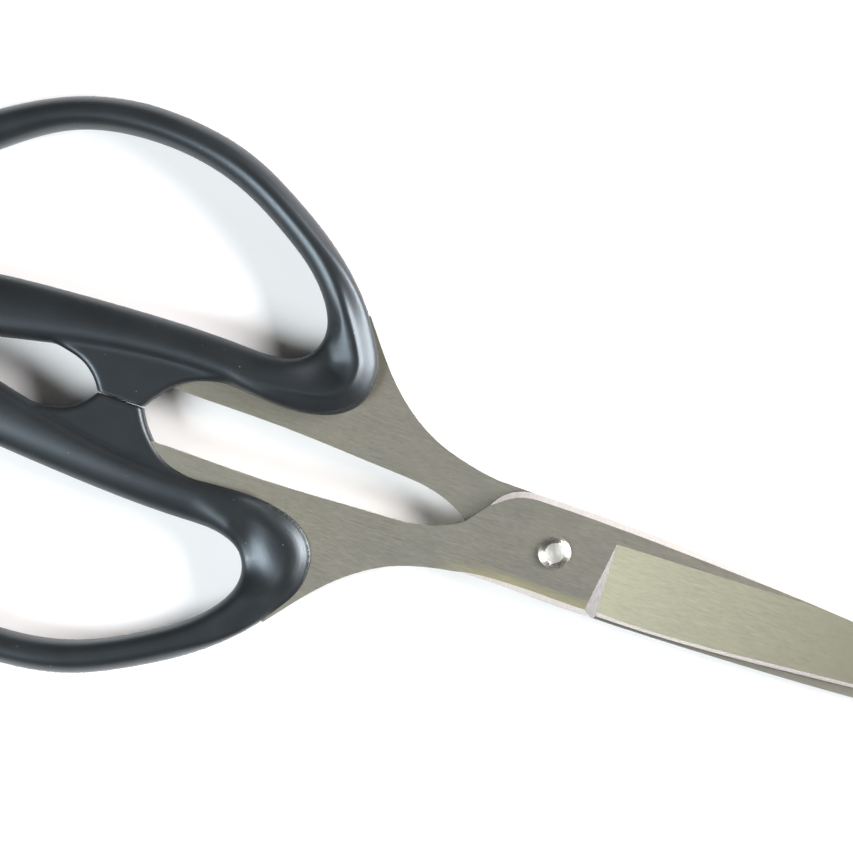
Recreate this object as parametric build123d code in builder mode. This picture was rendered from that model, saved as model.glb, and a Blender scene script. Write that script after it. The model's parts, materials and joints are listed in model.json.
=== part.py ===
from build123d import *
import os

# Fabric shears: two identical steel blades with moulded handles, joined by one rivet.
# Each half is drawn in the "half frame": origin on the pivot axis at the plane between
# the blades, +X towards the tips, handle and cutting edge on the -Y side, outer face +Z.
# The front half stands in that frame, and the back half is turned half a turn about X.

# ---- Overall ----
TIP_X = 102.0                # pivot to blade tips
REAR_X = -126.0              # pivot to the back of the finger loops
HANDLE_HEIGHT = 8.0          # full thickness of a handle

# ---- Blades ----
BLADE_GAP = 0.2              # gap between the blades, filled by the spacer at the pivot
SHEET = 2.2                  # thickness of the steel sheet
SPINE_Y = 8.3                # half width of the blade at the pivot
HEEL_Y = -8.2
TIP_THINNING = 0.55          # the outer face falls by this much from the pivot to the tip
TAPER_START_X = 5.0
PLUNGE_TOP = (9.3, 4.95)     # where the bevel starts: corner of the plunge cut
PLUNGE_HEEL = (7.7, -7.75)   # lower end of the plunge cut on the outer face
PLUNGE_FOOT = (10.0, -7.75)  # lower end of the plunge cut on the bevel
GRIND_END = (45.0, 6.0)      # the bevel's upper line meets the spine chamfer here
EDGE_THICKNESS = 0.75        # steel left at the cutting edge under the bevel
EDGE_LAND = 0.1              # steel left under the small sharpening bevel
SPINE_CHAMFER = 0.95
HEEL_CHAMFER = 0.9
LOCK_HOLE_RADIUS = 1.7
LOCK_HOLES = [(-42.0, -17.5), (-54.0, -10.2), (-66.0, -9.6), (-79.0, -9.2)]

# ---- Handles ----
HANDLE_FILLET = 2.6
LUG_HEIGHT = 5.4
LUG_CORNER = 0.8
LUG_FILLET = 0.6
LUG_GAP = 0.24               # gap between the two stop lugs when the shears are closed

# ---- Pivot ----
RIVET_RADIUS = 1.8
BORE_CLEARANCE = 0.04        # the front blade turns on the rivet
HEAD_RADIUS = 2.7
HEAD_FLAT_RADIUS = 1.6
HEAD_HEIGHT = 0.95
HEAD_RIM = 0.2
HEAD_CLEARANCE = 0.03
WASHER_RADIUS = 3.6
WASHER_THICKNESS = 0.5
TAIL_RADIUS = 2.6
TAIL_HEIGHT = 0.7
SPACER_RADIUS = 4.6

# ---- Frame: origin under the middle of the closed shears, on the surface they lie on ----
PIVOT_X = -(TIP_X + REAR_X) / 2
MID_Z = HANDLE_HEIGHT / 2
FRONT_HALF = Plane((PIVOT_X, 0, MID_Z), x_dir=(1, 0, 0), z_dir=(0, 0, 1))
BACK_HALF = Plane((PIVOT_X, 0, MID_Z), x_dir=(1, 0, 0), z_dir=(0, 0, -1))
INNER_Z = BLADE_GAP / 2
OUTER_Z = INNER_Z + SHEET


def plane_through(a, b, c):
    """Plane through three points, with its normal pointing up."""
    a, b, c = Vector(a), Vector(b), Vector(c)
    normal = (b - a).cross(c - a)
    if normal.Z < 0:
        normal = normal * -1
    return Plane(a, x_dir=b - a, z_dir=normal)


def height_on(plane, x, y):
    """Z of a plane at (x, y)."""
    normal = plane.z_dir
    drop = (x - plane.origin.X) * normal.X + (y - plane.origin.Y) * normal.Y
    return plane.origin.Z - drop / normal.Z


# ---- Planes of the ground outer face ----
taper_plane = plane_through(
    (TAPER_START_X, 0, OUTER_Z),
    (TAPER_START_X, 10, OUTER_Z),
    (TAPER_START_X + TIP_X, 0, OUTER_Z - TIP_THINNING),
)
bevel_plane = plane_through(
    (*PLUNGE_TOP, OUTER_Z),
    (*GRIND_END, height_on(taper_plane, *GRIND_END)),
    (*PLUNGE_FOOT, INNER_Z + EDGE_THICKNESS),
)
plunge_plane = plane_through(
    (*PLUNGE_TOP, OUTER_Z),
    (*PLUNGE_HEEL, OUTER_Z),
    (*PLUNGE_FOOT, INNER_Z + EDGE_THICKNESS),
)


def flat_face_z(x, y):
    """Height of the flat part of the blade's outer face at (x, y)."""
    return OUTER_Z if x < TAPER_START_X else height_on(taper_plane, x, y)


def bevel_face_z(x, y):
    """Height of the bevelled part of the blade's outer face at (x, y)."""
    return height_on(bevel_plane, x, y)


# ---- Outline of blade, shank and tang, clockwise from the notch between the shanks ----
with BuildLine() as blade_outline:
    shoulder_foot = Line((-15.7, 0.0), (-12.9, 3.6))
    shoulder = Spline(
        shoulder_foot @ 1, (-11.3, 5.95), (-8.8, 7.6), (-5.0, SPINE_Y - 0.05),
        tangents=[(0.57, 0.82), (1, 0.02)],
    )
    spine = Spline(
        shoulder @ 1, (8, SPINE_Y), (36, 7.42), (55, 6.35), (80, 3.75), (TIP_X - 0.7, 0.7),
        tangents=[shoulder % 1, (1, -0.16)],
    )
    tip = ThreePointArc(spine @ 1, (TIP_X, 0.15), (TIP_X - 0.7, -0.35))
    cutting_edge = Spline(tip @ 1, (80, -2.45), (54.5, -4.78), (38.7, -6.3), PLUNGE_FOOT)
    heel_step = Line(cutting_edge @ 1, (9.8, HEEL_Y))
    heel = Line(heel_step @ 1, (-12.4, HEEL_Y))
    shank_outside = Spline(
        heel @ 1, (-18.3, -9.1), (-24.8, -11.1), (-33, -16.6), (-41.9, -27.0),
        tangents=[(-1, -0.06), (-0.62, -0.78)],
    )
    tang = Polyline(
        shank_outside @ 1, (-43.4, -25.8), (-44.8, -23.0), (-44.8, -15.2), (-48.4, -12.8),
        (-86.0, -12.0), (-89.0, -9.4), (-86.0, -6.9), (-72.0, -4.8), (-66.0, -4.7),
    )
    shank_inside = Spline(
        tang @ 1, (-48, -4.65), (-30, -3.75), (-20, -2.3), (-15.7, 0),
        tangents=[(1, 0), (0.75, 0.66)],
    )


def ground_edge(stations, face_z):
    """Wedge that grinds a 45 degree edge along the outline, cut down from the height face_z gives.

    Each station is (curve, position along it, width of the ground band, run past the end).
    """
    margin = 0.5
    with BuildPart() as wedge:
        for curve, position, width, overrun in stations:
            tangent = curve % position
            outward = Vector(-tangent.Y, tangent.X, 0)
            point = curve @ position + tangent * overrun
            inner = point - outward * width
            base = Vector(point.X, point.Y, face_z(inner.X, inner.Y))
            with BuildSketch(Plane(base, x_dir=outward, z_dir=tangent)):
                with BuildLine():
                    Polyline(
                        (-width - margin, margin), (margin, -width - margin), (margin, margin),
                        close=True,
                    )
                make_face()
        loft()
    return wedge.part


def sharpening_width(position):
    """Width of the small bevel that leaves EDGE_LAND at a point of the cutting edge."""
    point = cutting_edge @ position
    edge_height = bevel_face_z(point.X, point.Y) - INNER_Z
    slope = height_on(bevel_plane, 0, 1) - height_on(bevel_plane, 0, 0)
    return (edge_height - EDGE_LAND) / (1 - slope)


shoulder_stations = [
    (shoulder, 0.0, -0.2, 0),
    (shoulder, 0.15, 0.45, 0),
    (shoulder, 0.35, 0.85, 0),
    (shoulder, 0.6, SPINE_CHAMFER, 0),
    (shoulder, 0.85, SPINE_CHAMFER, 0),
    (shoulder, 1.0, SPINE_CHAMFER, 0.5),
]
flat_spine_stations = [
    (spine, 0.0, SPINE_CHAMFER, -0.2),
    (spine, 0.15, SPINE_CHAMFER, 0),
    (spine, 0.3, SPINE_CHAMFER, 0),
    (spine, 0.45, SPINE_CHAMFER, 0),
    (spine, 0.6, SPINE_CHAMFER, 0),
]
spine_stations = [
    (spine, 0.3, SPINE_CHAMFER, 0),
    (spine, 0.45, SPINE_CHAMFER, 0),
    (spine, 0.6, SPINE_CHAMFER, 0),
    (spine, 0.75, SPINE_CHAMFER, 0),
    (spine, 0.9, SPINE_CHAMFER, 0),
    (spine, 1.0, 0.7 * SPINE_CHAMFER, 0),
    (spine, 1.0, 0.7 * SPINE_CHAMFER, 3),
]
heel_stations = [
    (heel, 0.0, HEEL_CHAMFER, -3),
    (heel, 0.15, HEEL_CHAMFER, 0),
    (heel, 0.35, HEEL_CHAMFER, 0),
    (heel, 0.65, HEEL_CHAMFER, 0),
    (heel, 0.88, 0.7 * HEEL_CHAMFER, 0),
    (shank_outside, 0.01, 0.3 * HEEL_CHAMFER, 0),
    (shank_outside, 0.08, -0.15, 0),
]
edge_stations = [
    (cutting_edge, 0.0, sharpening_width(0.0), -3),
    (cutting_edge, 0.0, sharpening_width(0.0), 0),
    (cutting_edge, 0.25, sharpening_width(0.25), 0),
    (cutting_edge, 0.5, sharpening_width(0.5), 0),
    (cutting_edge, 0.75, sharpening_width(0.75), 0),
    (cutting_edge, 1.0, sharpening_width(1.0), 0),
]
shoulder_wedge = ground_edge(shoulder_stations, flat_face_z)
flat_spine_wedge = ground_edge(flat_spine_stations, flat_face_z)
spine_wedge = ground_edge(spine_stations, bevel_face_z)
heel_wedge = ground_edge(heel_stations, flat_face_z)
edge_wedge = ground_edge(edge_stations, bevel_face_z)

with BuildPart() as bevel_cut:
    with Locations((TIP_X / 2, 0, OUTER_Z)):
        Box(1.4 * TIP_X, 40, 3 * SHEET)
    split(bisect_by=bevel_plane, keep=Keep.TOP)
    split(bisect_by=plunge_plane, keep=Keep.TOP)

with BuildPart() as taper_cut:
    with Locations((TIP_X / 2, 0, OUTER_Z)):
        Box(1.4 * TIP_X, 40, 3 * SHEET)
    split(bisect_by=taper_plane, keep=Keep.TOP)

# ---- Blade blank: blade, shank and the tang that the handle is moulded round ----
with BuildPart() as blade_blank:
    with BuildSketch(Plane.XY.offset(INNER_Z)):
        add(blade_outline.line)
        make_face()
        with Locations(*LOCK_HOLES):
            Circle(LOCK_HOLE_RADIUS, mode=Mode.SUBTRACT)
    extrude(amount=SHEET)
    add(taper_cut.part, mode=Mode.SUBTRACT)
    add(bevel_cut.part, mode=Mode.SUBTRACT)
    for wedge in (shoulder_wedge, flat_spine_wedge, spine_wedge, heel_wedge, edge_wedge):
        add(wedge, mode=Mode.SUBTRACT)

# ---- Handle blank: finger loop and limb, with the stop lug as a thinner web ----
with BuildPart() as handle_loop:
    with BuildSketch(Plane.XY.offset(-HANDLE_HEIGHT / 2)):
        with BuildLine():
            Spline(
                (-42.4, -27.0), (-38.3, -20.4), (-38.3, -13.5), (-45.0, -8.5), (-60.0, -8.3),
                (-80.0, -7.1), (-98.0, -3.5), (-110.0, -2.0), (-120.5, -6.2), (REAR_X, -18.5),
                (-121.6, -30.0), (-111.0, -39.4), (-100.0, -45.3), (-87.0, -48.0),
                (-80.0, -47.8), (-70.0, -45.9), (-60.0, -41.3), (-50.0, -34.8),
                periodic=True,
            )
        make_face()
        with BuildLine():
            Spline(
                (-48.0, -21.0), (-49.6, -17.4), (-53.2, -15.6), (-60.0, -15.3), (-80.0, -14.9),
                (-92.0, -14.1), (-103.0, -13.0), (-112.0, -12.6), (-117.8, -16.0),
                (-118.8, -21.2), (-115.6, -27.0), (-109.0, -33.0), (-100.0, -39.3),
                (-87.0, -42.4), (-70.0, -40.1), (-60.0, -35.1), (-50.2, -27.0),
                periodic=True,
            )
        make_face(mode=Mode.SUBTRACT)
    extrude(amount=HANDLE_HEIGHT)
    fillet(faces().filter_by(Axis.Z).edges(), HANDLE_FILLET)

with BuildPart() as stop_lug:
    with BuildSketch(Plane.XY.offset(-LUG_HEIGHT / 2)):
        with BuildLine():
            lug_front = Spline(
                (-60.0, -9.8), (-66.0, -6.8), (-70.0, -3.8), (-72.5, -LUG_GAP / 2),
                tangents=[(-0.9, 0.25), (-0.55, 0.83)],
            )
            lug_contact = Line(lug_front @ 1, (-80.5, -LUG_GAP / 2))
            lug_rear = Spline(
                lug_contact @ 1, (-82.4, -2.4), (-84.8, -4.0), (-92.0, -6.4),
                tangents=[(-0.45, -0.9), (-0.9, -0.35)],
            )
            Polyline(lug_rear @ 1, (-92.0, -9.8), (-60.0, -9.8))
        make_face()
    extrude(amount=LUG_HEIGHT)
    fillet(edges().filter_by(Axis.Z), LUG_CORNER)
    fillet(faces().filter_by(Axis.Z).edges(), LUG_FILLET)

with BuildPart() as handle_blank:
    add(handle_loop.part)
    add(stop_lug.part)
    add(blade_blank.part, mode=Mode.SUBTRACT)

# ---- Front half: turns on the rivet ----
with BuildPart() as front_blade:
    with Locations(FRONT_HALF):
        add(blade_blank.part)
        Cylinder(RIVET_RADIUS + BORE_CLEARANCE, 4 * SHEET, mode=Mode.SUBTRACT)
front_blade.part.label = "front_blade"

with BuildPart() as front_handle:
    with Locations(FRONT_HALF):
        add(handle_blank.part)
front_handle.part.label = "front_handle"

# ---- Back half: holds the rivet ----
with BuildPart() as back_blade:
    with Locations(BACK_HALF):
        add(blade_blank.part)
        Cylinder(RIVET_RADIUS, 4 * SHEET, mode=Mode.SUBTRACT)
back_blade.part.label = "back_blade"

with BuildPart() as back_handle:
    with Locations(BACK_HALF):
        add(handle_blank.part)
back_handle.part.label = "back_handle"

# ---- Pivot: rivet with a turned head, clenched over a washer behind the back blade ----
HEAD_Z = OUTER_Z + HEAD_CLEARANCE
WASHER_Z = -OUTER_Z - WASHER_THICKNESS

with BuildPart() as pivot_rivet:
    with BuildSketch(Plane(FRONT_HALF.origin, x_dir=(1, 0, 0), z_dir=(0, -1, 0))):
        with BuildLine():
            Polyline(
                (RIVET_RADIUS, HEAD_Z), (HEAD_RADIUS, HEAD_Z), (HEAD_RADIUS, HEAD_Z + HEAD_RIM),
            )
            ThreePointArc(
                (HEAD_RADIUS, HEAD_Z + HEAD_RIM),
                (2.3, HEAD_Z + 0.72 * HEAD_HEIGHT),
                (HEAD_FLAT_RADIUS, HEAD_Z + HEAD_HEIGHT),
            )
            Polyline(
                (HEAD_FLAT_RADIUS, HEAD_Z + HEAD_HEIGHT), (0, HEAD_Z + HEAD_HEIGHT),
                (0, WASHER_Z - TAIL_HEIGHT), (0.8 * TAIL_RADIUS, WASHER_Z - TAIL_HEIGHT),
                (TAIL_RADIUS, WASHER_Z - 0.4 * TAIL_HEIGHT), (TAIL_RADIUS, WASHER_Z),
                (RIVET_RADIUS, WASHER_Z), (RIVET_RADIUS, HEAD_Z),
            )
        make_face()
    revolve(axis=Axis(FRONT_HALF.origin, (0, 0, 1)))
pivot_rivet.part.label = "pivot_rivet"

with BuildPart() as rivet_washer:
    with BuildSketch(FRONT_HALF.offset(WASHER_Z)):
        Circle(WASHER_RADIUS)
        Circle(RIVET_RADIUS, mode=Mode.SUBTRACT)
    extrude(amount=WASHER_THICKNESS)
rivet_washer.part.label = "rivet_washer"

with BuildPart() as blade_spacer:
    with BuildSketch(FRONT_HALF.offset(-INNER_Z)):
        Circle(SPACER_RADIUS)
        Circle(RIVET_RADIUS, mode=Mode.SUBTRACT)
    extrude(amount=BLADE_GAP)
blade_spacer.part.label = "blade_spacer"

os.makedirs("parts", exist_ok=True)
for piece in (front_blade, front_handle, back_blade, back_handle, pivot_rivet, rivet_washer, blade_spacer):
    export_step(piece.part, f"parts/{piece.part.label}.step")
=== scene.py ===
"""Fabric shears lying closed on a pale surface, seen from straight above."""
import json
import math

import bpy
import numpy as np
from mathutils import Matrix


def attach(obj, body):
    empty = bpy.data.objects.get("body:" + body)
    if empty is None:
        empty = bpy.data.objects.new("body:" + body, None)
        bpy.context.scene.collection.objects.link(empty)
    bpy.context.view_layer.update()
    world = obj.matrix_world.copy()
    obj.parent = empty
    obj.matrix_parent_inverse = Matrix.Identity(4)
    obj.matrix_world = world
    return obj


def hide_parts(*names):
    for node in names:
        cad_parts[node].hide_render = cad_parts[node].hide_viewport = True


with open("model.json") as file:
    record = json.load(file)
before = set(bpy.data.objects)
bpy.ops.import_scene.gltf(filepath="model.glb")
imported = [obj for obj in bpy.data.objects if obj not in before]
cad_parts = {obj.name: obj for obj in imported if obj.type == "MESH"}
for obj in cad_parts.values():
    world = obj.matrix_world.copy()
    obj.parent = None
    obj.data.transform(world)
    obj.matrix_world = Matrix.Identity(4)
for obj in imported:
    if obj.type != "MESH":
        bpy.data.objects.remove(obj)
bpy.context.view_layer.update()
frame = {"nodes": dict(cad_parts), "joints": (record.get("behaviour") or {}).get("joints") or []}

MM = 0.001
PIVOT = np.array(frame["joints"][0]["pos_m"])
PHOTO_TURN = math.radians(19.4)      # the blades' axis runs down to the right in the picture

# Places along the shears, in the row's frame
HANDLE_FRONT_X = PIVOT[0] - 38 * MM  # foremost point of the handles
TAIL_EDGE_X = PIVOT[0] + 2.1 * MM    # the side of the rivet's tail that meets the paper
TAIL_Z = 0.5 * MM
VIEW_CENTRE = (PIVOT[0] - 27.0 * MM, PIVOT[1] + 12.7 * MM)


# ---------------------------------------------------------------- camera, floor and light
def make_camera():
    """Camera looking straight down, turned so that the blades run towards the lower right."""
    frame_width = 142.2 * MM
    height = 460 * MM
    data = bpy.data.cameras.new("camera")
    data.sensor_width = 36
    data.lens = data.sensor_width * height / frame_width
    camera = bpy.data.objects.new("camera", data)
    camera.location = (*VIEW_CENTRE, PIVOT[2] + height)
    camera.rotation_euler = (0, 0, PHOTO_TURN)
    bpy.context.scene.collection.objects.link(camera)
    bpy.context.scene.camera = camera


def make_floor():
    """Large pale sheet of matt paper, under the handles' front ends and the rivet's tail."""
    slope = TAIL_Z / (TAIL_EDGE_X - HANDLE_FRONT_X)
    half = 1.5
    corners = [
        (x, y, slope * (x - HANDLE_FRONT_X))
        for x, y in ((-half, -half), (half, -half), (half, half), (-half, half))
    ]
    mesh = bpy.data.meshes.new("floor")
    mesh.from_pydata(corners, [], [(0, 1, 2, 3)])
    floor = bpy.data.objects.new("floor", mesh)
    bpy.context.scene.collection.objects.link(floor)
    s = Shader("floor_paper")
    tint = s.noise(s.object_coordinates(), 40.0, 2)
    s.set("Base Color", s.ramp(tint, [(0.3, (0.90, 0.905, 0.91)), (0.7, (0.93, 0.932, 0.935))]))
    s.set("Roughness", 0.7)
    s.set("Specular IOR Level", 0.2)
    mesh.materials.append(s.material)


def area_light(name, azimuth, elevation, distance, size, power, colour):
    """Soft box aimed at the object; azimuth is measured in the picture, 0 to the right, 90 up."""
    turn = math.radians(azimuth) + PHOTO_TURN
    rise = math.radians(elevation)
    away = np.array([math.cos(turn) * math.cos(rise), math.sin(turn) * math.cos(rise), math.sin(rise)])
    data = bpy.data.lights.new(name, "AREA")
    data.shape = "RECTANGLE"
    data.size, data.size_y = size
    data.energy = power
    data.color = colour
    light = bpy.data.objects.new(name, data)
    light.location = away * distance
    light.rotation_euler = (math.pi / 2 - rise, 0, turn + math.pi / 2)
    bpy.context.scene.collection.objects.link(light)


def make_light():
    """Soft boxes, a warm one on the right and a cooler one on the left, in a dim room with a pale horizon."""
    world = bpy.data.worlds.new("room")
    world.use_nodes = True
    tree = world.node_tree
    background = tree.nodes["Background"]
    place = tree.nodes.new("ShaderNodeTexCoord")
    split = tree.nodes.new("ShaderNodeSeparateXYZ")
    ramp = tree.nodes.new("ShaderNodeValToRGB")
    tree.links.new(place.outputs["Generated"], split.inputs[0])
    tree.links.new(split.outputs["Z"], ramp.inputs["Fac"])
    tree.links.new(ramp.outputs["Color"], background.inputs["Color"])
    pale, dim, overhead = (0.90, 0.90, 0.91), (0.060, 0.050, 0.040), (0.16, 0.155, 0.15)
    fill_ramp(ramp, [(0.0, pale), (0.05, pale), (0.14, dim), (0.86, dim), (0.97, overhead)])
    bpy.context.scene.world = world
    area_light("box_right", 12, 26, 0.9, (0.74, 0.34), 26.0, (1.0, 0.965, 0.95))
    area_light("box_left", 201, 38, 0.9, (0.38, 0.38), 11.2, (0.925, 0.975, 1.0))


# ---------------------------------------------------------------- material helper
def fill_ramp(node, stops):
    """Gives a colour ramp its stops, as (place, (r, g, b)) pairs."""
    elements = node.color_ramp.elements
    while len(elements) > len(stops):
        elements.remove(elements[-1])
    while len(elements) < len(stops):
        elements.new(0.5)
    for element, (place, colour) in zip(elements, stops):
        element.position = place
        element.color = (*colour, 1.0)


class Shader:
    """Principled material with short names for the nodes used here."""

    def __init__(self, name):
        self.material = bpy.data.materials.new(name)
        self.material.use_nodes = True
        self.tree = self.material.node_tree
        self.principled = self.tree.nodes["Principled BSDF"]

    def node(self, kind, **settings):
        made = self.tree.nodes.new("ShaderNode" + kind)
        for key, value in settings.items():
            setattr(made, key, value)
        return made

    def put(self, socket, value):
        if isinstance(value, bpy.types.NodeSocket):
            self.tree.links.new(value, socket)
        elif isinstance(value, tuple) and len(value) == 3 and socket.type == "RGBA":
            socket.default_value = (*value, 1.0)
        else:
            socket.default_value = value

    def set(self, name, value):
        self.put(self.principled.inputs[name], value)

    def object_coordinates(self, scale=(1, 1, 1), turn=0.0):
        place = self.node("TexCoord")
        mapping = self.node("Mapping")
        mapping.inputs["Rotation"].default_value = (0, 0, turn)
        mapping.inputs["Scale"].default_value = scale
        self.tree.links.new(place.outputs["Object"], mapping.inputs["Vector"])
        return mapping.outputs["Vector"]

    def position(self, axis):
        split = self.node("SeparateXYZ")
        self.tree.links.new(self.node("TexCoord").outputs["Object"], split.inputs[0])
        return split.outputs[axis]

    def object_normal(self):
        """Components of the surface normal in the object's own frame."""
        split = self.node("SeparateXYZ")
        self.tree.links.new(self.node("TexCoord").outputs["Normal"], split.inputs[0])
        return split.outputs

    def noise(self, vector, scale, detail=2, roughness=0.5):
        made = self.node("TexNoise")
        self.put(made.inputs["Vector"], vector)
        made.inputs["Scale"].default_value = scale
        made.inputs["Detail"].default_value = detail
        made.inputs["Roughness"].default_value = roughness
        return made.outputs["Fac"]

    def math(self, operation, a, b=0.0, clamp=False):
        made = self.node("Math", operation=operation, use_clamp=clamp)
        self.put(made.inputs[0], a)
        self.put(made.inputs[1], b)
        return made.outputs[0]

    def ranged(self, value, low, high, to_low=0.0, to_high=1.0):
        """Value moved from the range low..high to to_low..to_high, and held at its ends."""
        made = self.node("MapRange", interpolation_type="LINEAR")
        self.put(made.inputs["Value"], value)
        for name, number in (("From Min", low), ("From Max", high), ("To Min", to_low), ("To Max", to_high)):
            made.inputs[name].default_value = number
        return made.outputs["Result"]

    def ramp(self, value, stops):
        made = self.node("ValToRGB")
        self.put(made.inputs["Fac"], value)
        fill_ramp(made, stops)
        return made.outputs["Color"]

    def mix(self, factor, a, b):
        made = self.node("Mix", data_type="RGBA", blend_type="MIX")
        self.put(made.inputs["Factor"], factor)
        self.put(made.inputs["A"], a)
        self.put(made.inputs["B"], b)
        return made.outputs["Result"]

    def bump(self, height, distance, strength=1.0):
        made = self.node("Bump")
        made.inputs["Strength"].default_value = strength
        made.inputs["Distance"].default_value = distance
        self.put(made.inputs["Height"], height)
        self.set("Normal", made.outputs["Normal"])


# ---------------------------------------------------------------- materials
def blade_steel():
    """Ground stainless steel with finely streaked flats. The paler bevel and near white chamfers are painted
    reflection, and the darker plunge facets are painted shade.
    """
    s = Shader("blade_steel")
    streaks = s.noise(s.object_coordinates((900, 9000, 9000)), 1.0, 2, 0.6)
    long_streaks = s.noise(s.object_coordinates((260, 5200, 5200), math.radians(1.5)), 1.0, 2, 0.5)
    mottle = s.noise(s.object_coordinates(), 420.0, 3, 0.6)
    cloud = s.noise(s.object_coordinates((1, 2, 1)), 90.0, 3, 0.6)
    fine = s.math("ADD", s.math("MULTIPLY", streaks, 0.6), s.math("MULTIPLY", long_streaks, 0.4))
    flat = s.ramp(fine, [(0.30, (0.425, 0.416, 0.362)), (0.70, (0.535, 0.525, 0.457))])
    flat = s.mix(s.ranged(mottle, 0.45, 0.75, 0.0, 0.35), flat, (0.49, 0.475, 0.37))
    flat = s.mix(s.ranged(cloud, 0.40, 0.70, 0.0, 0.45), flat, (0.40, 0.405, 0.375))
    along_heel = s.math("MULTIPLY", s.ranged(s.position("X"), -0.006, 0.006),
                        s.ranged(s.position("X"), 0.0225, 0.0205))
    near_heel = s.math("MULTIPLY", along_heel, s.ranged(s.position("Y"), -0.0055, -0.0075))
    flat = s.mix(s.math("MULTIPLY", near_heel, 0.85, clamp=True), flat, (0.78, 0.74, 0.44))
    tarnish = s.ranged(s.noise(s.object_coordinates(), 2400.0, 3, 0.7), 0.46, 0.62)
    on_shank = s.math("MULTIPLY", s.ranged(s.position("X"), -0.010, -0.034), tarnish)
    flat = s.mix(s.math("MULTIPLY", on_shank, 0.45), flat, (0.46, 0.41, 0.27))
    # Painted reflection: the bevel is coloured paler and yellower than the flats for the bright surroundings
    # it reflects, and painted shade darkens it towards the tips.
    bevel = s.ramp(fine, [(0.30, (0.925, 0.925, 0.70)), (0.70, (0.965, 0.96, 0.74))])
    bevel = s.mix(s.ranged(s.position("X"), 0.024, 0.070), bevel, (0.58, 0.58, 0.455))
    grit = s.noise(s.object_coordinates((3500, 900, 900)), 1.0, 2)
    # Painted reflection: the chamfers are coloured near white for the bright surroundings they reflect. The
    # plunge facets get a darker copy of the same steel as painted shade.
    chamfer_sheen_and_shade = s.ramp(grit, [(0.3, (0.64, 0.605, 0.585)), (0.7, (0.72, 0.685, 0.665))])
    plunge_shade = s.ramp(grit, [(0.3, (0.24, 0.24, 0.245)), (0.7, (0.30, 0.30, 0.305))])
    normal = s.object_normal()
    up = s.math("ABSOLUTE", normal["Z"])
    on_bevel = s.ranged(up, 0.9975, 0.9955)
    on_ground = s.ranged(up, 0.985, 0.97)
    on_side = s.ranged(up, 0.35, 0.25)
    # Facets that face the tips take the darker, painted-shade copy.
    chamfer_sheen_and_shade = s.mix(s.ranged(normal["X"], 0.35, 0.45), chamfer_sheen_and_shade, plunge_shade)
    colour = s.mix(on_bevel, flat, bevel)
    colour = s.mix(on_ground, colour, chamfer_sheen_and_shade)
    colour = s.mix(on_side, colour, (0.42, 0.41, 0.38))
    s.set("Base Color", colour)
    s.set("Metallic", 1.0)
    s.set("Roughness", s.ranged(fine, 0.3, 0.7, 0.39, 0.45))
    s.bump(fine, 0.00003, 0.13)
    return s.material


def turned_steel(name, roughness):
    """Bright turned steel: grooves in rings about the pivot axis. The flat in the middle is duller."""
    s = Shader(name)
    shifted = s.node("VectorMath", operation="SUBTRACT")
    s.tree.links.new(s.node("TexCoord").outputs["Object"], shifted.inputs[0])
    shifted.inputs[1].default_value = tuple(PIVOT)
    split = s.node("SeparateXYZ")
    s.tree.links.new(shifted.outputs[0], split.inputs[0])
    squares = [s.math("MULTIPLY", split.outputs[axis], split.outputs[axis]) for axis in ("X", "Y")]
    radius = s.math("SQRT", s.math("ADD", *squares))
    rings = s.node("TexNoise", noise_dimensions="1D")
    s.put(rings.inputs["W"], s.math("MULTIPLY", radius, 11000.0))
    rings.inputs["Scale"].default_value = 1.0
    rings.inputs["Detail"].default_value = 2
    grooves = rings.outputs["Fac"]
    on_flat = s.ranged(s.math("ABSOLUTE", s.object_normal()["Z"]), 0.985, 0.995)
    cone = s.ramp(grooves, [(0.3, (0.62, 0.59, 0.55)), (0.7, (0.82, 0.80, 0.77))])
    flat = s.ramp(grooves, [(0.3, (0.76, 0.77, 0.72)), (0.7, (0.96, 0.97, 0.92))])
    s.set("Base Color", s.mix(on_flat, cone, flat))
    s.set("Metallic", 1.0)
    s.set("Roughness", s.ranged(on_flat, 0.0, 1.0, roughness, 0.42))
    relief = s.ranged(on_flat, 0.0, 1.0, 1.0, 0.5)
    s.bump(s.math("MULTIPLY", grooves, relief), 0.00005, 1.0)
    return s.material


def spacer_nylon():
    """Pale nylon of the washer between the blades."""
    s = Shader("spacer_nylon")
    grain = s.noise(s.object_coordinates(), 3000.0, 2)
    s.set("Base Color", s.ramp(grain, [(0.3, (0.66, 0.65, 0.58)), (0.7, (0.76, 0.75, 0.69))]))
    s.set("Roughness", 0.5)
    s.bump(grain, 0.00002, 0.3)
    return s.material


def handle_plastic():
    """Satin near-black plastic with a fine moulded grain and a few specks of dust."""
    s = Shader("handle_plastic")
    cloud = s.noise(s.object_coordinates(), 130.0, 3)
    grain = s.noise(s.object_coordinates(), 5200.0, 3, 0.7)
    colour = s.ramp(cloud, [(0.35, (0.0088, 0.0104, 0.0117)), (0.65, (0.0120, 0.0141, 0.0159))])
    speck = s.node("TexVoronoi", feature="F1")
    s.put(speck.inputs["Vector"], s.object_coordinates())
    speck.inputs["Scale"].default_value = 320.0
    dust = s.ranged(speck.outputs["Distance"], 0.040, 0.022)
    colour = s.mix(s.math("MULTIPLY", dust, 0.40), colour, (0.32, 0.34, 0.35))
    s.set("Base Color", colour)
    s.set("Roughness", s.ranged(grain, 0.3, 0.7, 0.35, 0.45))
    s.set("IOR", 1.58)
    s.set("Specular Tint", (0.78, 0.90, 1.0))
    s.bump(grain, 0.00003, 0.45)
    return s.material


# ---------------------------------------------------------------- handle shape, in millimetres
# Half frame: origin on the pivot axis between the blades, +X to the tips, +Y to the handle.
HALF_HEIGHT = 4.0
LUG_HALF_HEIGHT = 2.7
STEEL_TOP = 2.45                     # the plastic rises straight beside the steel up to here
GRID = 0.30
BEVEL_START_WIDTH = 2.2              # width of the bevel where it leaves the tube
BEVEL_WIDTH = 3.3                    # and round the front of the loop
DISH_DEPTH = 1.6

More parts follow.
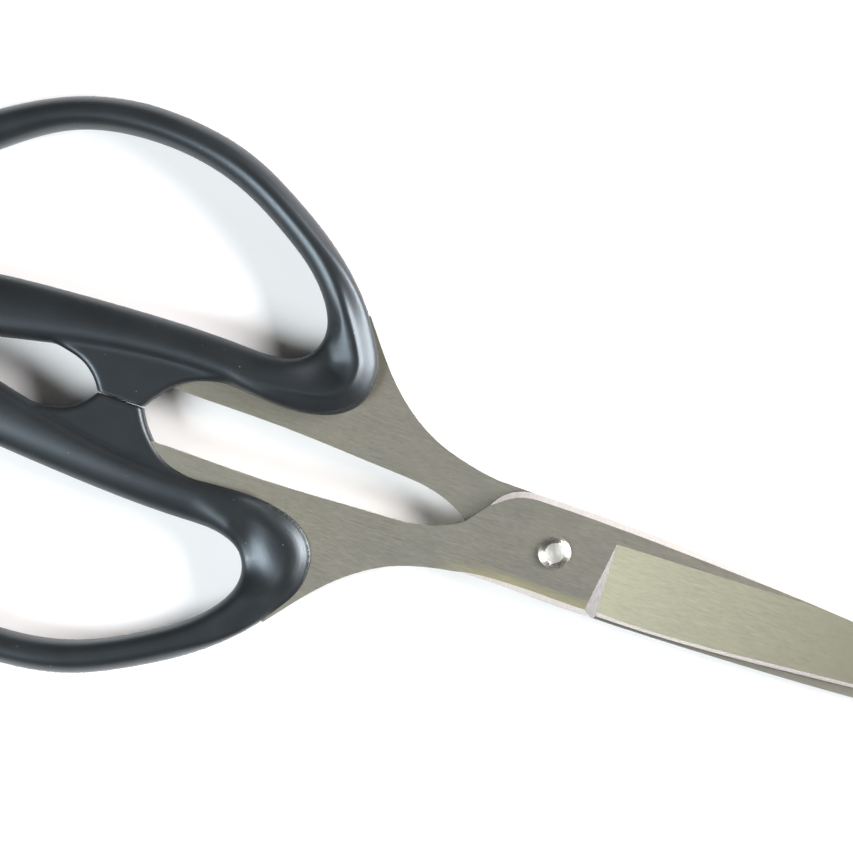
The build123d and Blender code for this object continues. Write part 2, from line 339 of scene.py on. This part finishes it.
OUTER_PATH = [
    (-42.1, 26.2), (-40.9, 24.6), (-39.2, 22.2), (-38.1, 19.8), (-37.7, 17.0), (-38.3, 13.5),
    (-40.6, 10.6), (-45.0, 8.6), (-60.0, 8.3), (-80.0, 7.1), (-98.0, 3.5), (-110.0, 2.0),
    (-120.5, 6.2), (-126.0, 18.5), (-121.6, 30.0), (-111.0, 39.4), (-100.0, 45.3), (-87.0, 48.0),
    (-80.0, 47.8), (-70.0, 45.9), (-60.0, 41.3), (-50.0, 34.8), (-45.0, 30.2), (-42.5, 27.5),
]
HOLE_PATH = [
    (-48.0, 21.0), (-49.6, 17.4), (-53.2, 15.6), (-60.0, 15.3), (-80.0, 14.9), (-92.0, 14.1),
    (-103.0, 13.0), (-112.0, 12.6), (-117.8, 16.0), (-118.8, 21.2), (-115.6, 27.0),
    (-109.0, 33.0), (-100.0, 39.3), (-87.0, 42.4), (-70.0, 40.1), (-60.0, 35.1), (-50.2, 27.0),
]
LUG_FRONT = [(-58.0, 10.5), (-61.5, 8.5), (-66.0, 6.9), (-69.6, 4.2), (-72.5, 0.1), (-73.6, -2.4)]
LUG_REAR = [(-79.4, -2.4), (-80.5, 0.1), (-82.4, 2.5), (-84.8, 4.1), (-89.0, 5.2), (-94.0, 7.5)]
LUG_FACE_Y = 0.12


def spline(points, closed, per_span=12):
    """Smooth cubic curve through the points, its parameter spaced by distance."""
    points = np.array(points, float)
    if closed:
        points = np.vstack([points[-3:], points, points[:4]])
    gaps = np.hypot(*np.diff(points, axis=0).T)
    knots = np.concatenate([[0], np.cumsum(gaps)])
    count = len(points)
    system = np.zeros((count, count))
    right = np.zeros((count, 2))
    system[0, 0] = system[-1, -1] = 1
    for i in range(1, count - 1):
        a, b = gaps[i - 1], gaps[i]
        system[i, i - 1:i + 2] = a, 2 * (a + b), b
        right[i] = 6 * ((points[i + 1] - points[i]) / b - (points[i] - points[i - 1]) / a)
    bend = np.linalg.solve(system, right)
    spans = range(3, count - 4) if closed else range(count - 1)
    curve = []
    for i in spans:
        h = gaps[i]
        for u in np.arange(per_span) / per_span * h:
            v = h - u
            curve.append(
                (bend[i] * v ** 3 + bend[i + 1] * u ** 3) / (6 * h)
                + (points[i] / h - bend[i] * h / 6) * v + (points[i + 1] / h - bend[i + 1] * h / 6) * u
            )
    if not closed:
        curve.append(points[-1])
    return np.array(curve)


def inside_distance(polygon, x, y):
    """Signed distance from each grid point to a closed polygon, positive inside."""
    nearest = np.full(x.shape, 1e9)
    crossings = np.zeros(x.shape, int)
    for (ax, ay), (bx, by) in zip(polygon, np.roll(polygon, -1, axis=0)):
        dx, dy = bx - ax, by - ay
        along = np.clip(((x - ax) * dx + (y - ay) * dy) / (dx * dx + dy * dy + 1e-12), 0, 1)
        nearest = np.minimum(nearest, (x - ax - along * dx) ** 2 + (y - ay - along * dy) ** 2)
        spans = (ay > y) != (by > y)
        if dy:
            crossings += spans & (x < ax + (y - ay) * dx / dy)
    return np.sqrt(nearest) * np.where(crossings % 2, 1, -1)


def soft_min(a, b, reach):
    """Smallest of two fields, rounded where they meet."""
    overlap = np.clip(reach - np.abs(a - b), 0, None)
    return np.minimum(a, b) - overlap ** 2 / (4 * reach)


def step(value, start, end):
    """Smooth rise from 0 at start to 1 at end."""
    part = np.clip((value - start) / (end - start), 0, 1)
    return part * part * (3 - 2 * part)


def top_relief(x, y, from_edge, from_hole, front, nose):
    """Depth pressed into the top: a bevel round the front, a dish behind it, a chamfer beside the hole."""
    width = BEVEL_START_WIDTH + (BEVEL_WIDTH - BEVEL_START_WIDTH) * front
    inside = np.clip(width - from_edge, 0, BEVEL_WIDTH)
    crease = 0.16 * step(inside, 0.05, 0.95) * step(front, 0.35, 0.95)
    bevel = 0.52 * (np.sqrt(inside ** 2 + 0.06) - 0.245) + crease
    dish = DISH_DEPTH * step(from_edge, 3.4, 8.2)
    beside_hole = np.clip(2.7 - from_hole, 0, 2.7)
    upper_tube = step(y, 20.0, 25.0) * step(x, -84.0, -66.0)
    chamfer = 0.42 * (np.sqrt(beside_hole ** 2 + 0.16) - 0.4)
    return front * bevel + nose * dish + upper_tube * chamfer


def underside_relief(x, y, from_edge, from_hole, front, nose):
    """Depth pressed into the underside: a soft rim, and a bowl that falls away towards the tube.

    It takes the same arguments as top_relief, because handle_field calls either of them.
    """
    rim = 0.11 * np.clip(3.8 - from_edge, 0, 3.5) ** 2
    fall = np.clip(0.76 * (-41.5 - x) + 0.65 * (y - 15.5), 0, None)
    bowl = 0.40 * np.where(fall < 4.4, fall ** 2 / 8.8, fall - 2.2) * step(y, 24.4, 17.0)
    return nose * (rim + soft_min(bowl, 1.6, 0.6))


def rounded_slab(edge, z, half_height, radius):
    """Field of a flat web whose plan field is edge (positive outside), with rounded rims."""
    a = edge + radius
    b = np.abs(z) - half_height + radius
    outside = np.sqrt(np.clip(a, 0, None) ** 2 + np.clip(b, 0, None) ** 2)
    return outside + np.minimum(np.maximum(a, b), 0) - radius


def handle_field():
    """Field of one handle on a grid: negative inside the plastic. Returns it with its low corner."""
    low = np.array([-127.5, -1.5, -4.9])
    high = np.array([-35.5, 49.8, 4.9])
    axes = [np.arange(a, b, GRID) for a, b in zip(low, high)]
    x, y = np.meshgrid(axes[0], axes[1], indexing="ij")
    from_outside = inside_distance(spline(OUTER_PATH, closed=False), x, y)
    from_edge = inside_distance(spline(OUTER_PATH[2:-1], closed=True), x, y)
    from_hole = -inside_distance(spline(HOLE_PATH, closed=True), x, y)
    near_nose = step(x, -60.0, -52.0)
    nose = step(x, -53.0, -46.0) * step(y, 31.0, 23.0)
    front = step(x, -62.0, -46.0) * step(y, 38.0, 24.0)
    on_limb = step(y, 24.0, 18.0) * (1 - near_nose)
    edge = from_outside + near_nose * (from_edge - from_outside)
    width = np.clip(edge + from_hole, 3.0, None)
    z = axes[2][None, None, :]
    beside_steel = step(x, -78.0, -71.0) * step(y, 27.5, 24.5)
    skirt_height = (STEEL_TOP * beside_steel)[:, :, None]
    skirt = np.maximum(-from_outside[:, :, None], np.where(z > 0, z + 0.1, -z - skirt_height))
    skirt = np.maximum(skirt, from_outside[:, :, None] - 1.2)
    faces = []
    for crest_shift, relief in ((0.04, top_relief), (0.22, underside_relief)):
        crest_inset = width * (0.5 - crest_shift * on_limb)
        across = np.where(edge < crest_inset, 1 - edge / crest_inset, from_hole / (width - crest_inset) - 1)
        power = np.where(across > 0, 2.2, 2.1 - 0.45 * on_limb) + 0.12 * np.clip(width - 6.0, 0, 4)
        power = power + front * (0.5 + 5.0 * step(across, -0.1, 0.3))
        power = power + 0.7 * step(y, 23.0, 29.0) * step(x, -84.0, -66.0) * (across < 0)
        crest = HALF_HEIGHT - relief(x, y, from_edge, from_hole, front, nose)
        across, power, crest, reach = (a[:, :, None] for a in (across, power, crest, width / 2))
        norm = (np.abs(across) ** power + np.abs(z / crest) ** power) ** (1 / power)
        faces.append((norm - 1) * np.minimum(reach, crest))
    loop = soft_min(np.where(z > 0, *faces), skirt, 0.5)
    lug_plan = np.vstack([spline(LUG_FRONT, closed=False), spline(LUG_REAR, closed=False)])
    lug_edge = -inside_distance(lug_plan, x, y)[:, :, None]
    lug = rounded_slab(lug_edge, z, LUG_HALF_HEIGHT, 1.1)
    lug = -soft_min(-lug, -(LUG_FACE_Y - y[:, :, None]), 0.25)
    field = soft_min(loop, lug, 0.7)
    return field, low


def surface_nets(field, low, step):
    """Quad mesh of the field's zero surface."""
    inside = field < 0
    corners = sum(
        inside[i:field.shape[0] - 1 + i, j:field.shape[1] - 1 + j, k:field.shape[2] - 1 + k].astype(int)
        for i in (0, 1) for j in (0, 1) for k in (0, 1)
    )
    cells = (corners > 0) & (corners < 8)
    index = np.full(cells.shape, -1)
    index[cells] = np.arange(cells.sum())
    total = np.zeros((cells.sum(), 3))
    hits = np.zeros(cells.sum())
    quads = []
    for axis in range(3):
        others = [a for a in range(3) if a != axis]
        if axis == 1:
            others.reverse()
        near = np.take(field, range(field.shape[axis] - 1), axis)
        far = np.take(field, range(1, field.shape[axis]), axis)
        crossed = np.argwhere((near < 0) != (far < 0))
        ok = np.all(crossed[:, others] > 0, axis=1)
        crossed = crossed[ok]
        a = near[tuple(crossed.T)]
        b = far[tuple(crossed.T)]
        points = crossed.astype(float)
        points[:, axis] += a / (a - b)
        ring = []
        for step_u, step_v in ((1, 1), (0, 1), (0, 0), (1, 0)):
            cell = crossed.copy()
            cell[:, others[0]] -= step_u
            cell[:, others[1]] -= step_v
            found = index[tuple(cell.T)]
            ring.append(found)
            np.add.at(total, found, points)
            np.add.at(hits, found, 1)
        ring = np.stack(ring, axis=1)
        ring[a > 0] = ring[a > 0][:, ::-1]
        quads.append(ring)
    vertices = total / hits[:, None] * step + low
    return vertices, np.vstack(quads)


def sample(grid, points):
    """Trilinear value of a grid at points given in grid units."""
    base = np.clip(points.astype(int), 0, np.array(grid.shape[:3]) - 2)
    part = points - base
    value = 0
    for corner in np.ndindex(2, 2, 2):
        weight = np.prod(np.where(corner, part, 1 - part), axis=1)
        place = tuple((base + corner).T)
        value = value + weight.reshape(-1, *[1] * (grid.ndim - 3)) * grid[place]
    return value


def settle_on_surface(vertices, field, low, step):
    """Moves the vertices along the field's slope until they lie on its zero surface."""
    slope = np.stack(np.gradient(field, step), axis=-1)
    for _ in range(4):
        place = (vertices - low) / step
        value = sample(field, place)
        direction = sample(slope, place)
        length = np.clip((direction ** 2).sum(1), 0.05, None)
        move = np.clip(value / length, -0.15, 0.15)[:, None] * direction
        vertices = vertices - move
    return vertices


def make_handle(name, body, side, vertices, quads, material):
    """One handle. side is +1 for the back half, with its handle towards +Y, or -1 for the front."""
    placed = vertices * np.array([1, side, side]) * MM + PIVOT
    mesh = bpy.data.meshes.new(name)
    mesh.from_pydata(placed.tolist(), [], quads.tolist())
    mesh.polygons.foreach_set("use_smooth", [True] * len(mesh.polygons))
    mesh.materials.append(material)
    mesh.update()
    piece = bpy.data.objects.new(name, mesh)
    bpy.context.scene.collection.objects.link(piece)
    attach(piece, body)
    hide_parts(name.replace("_moulding", ""))


def dress(node, material):
    """Gives a CAD node its material."""
    piece = frame["nodes"][node]
    piece.data.materials.clear()
    piece.data.materials.append(material)


scene = bpy.context.scene
scene.view_settings.view_transform = "Standard"
scene.view_settings.look = "None"
make_camera()
make_floor()
make_light()

steel = blade_steel()
dress("front_blade", steel)
dress("back_blade", steel)
dress("pivot_rivet", turned_steel("rivet_steel", 0.26))
dress("rivet_washer", turned_steel("washer_steel", 0.38))
dress("blade_spacer", spacer_nylon())

field, low = handle_field()
vertices, quads = surface_nets(field, low, GRID)
vertices = settle_on_surface(vertices, field, low, GRID)
plastic = handle_plastic()
make_handle("back_handle_moulding", "back_half", 1, vertices, quads, plastic)
make_handle("front_handle_moulding", "front_half", -1, vertices, quads, plastic)
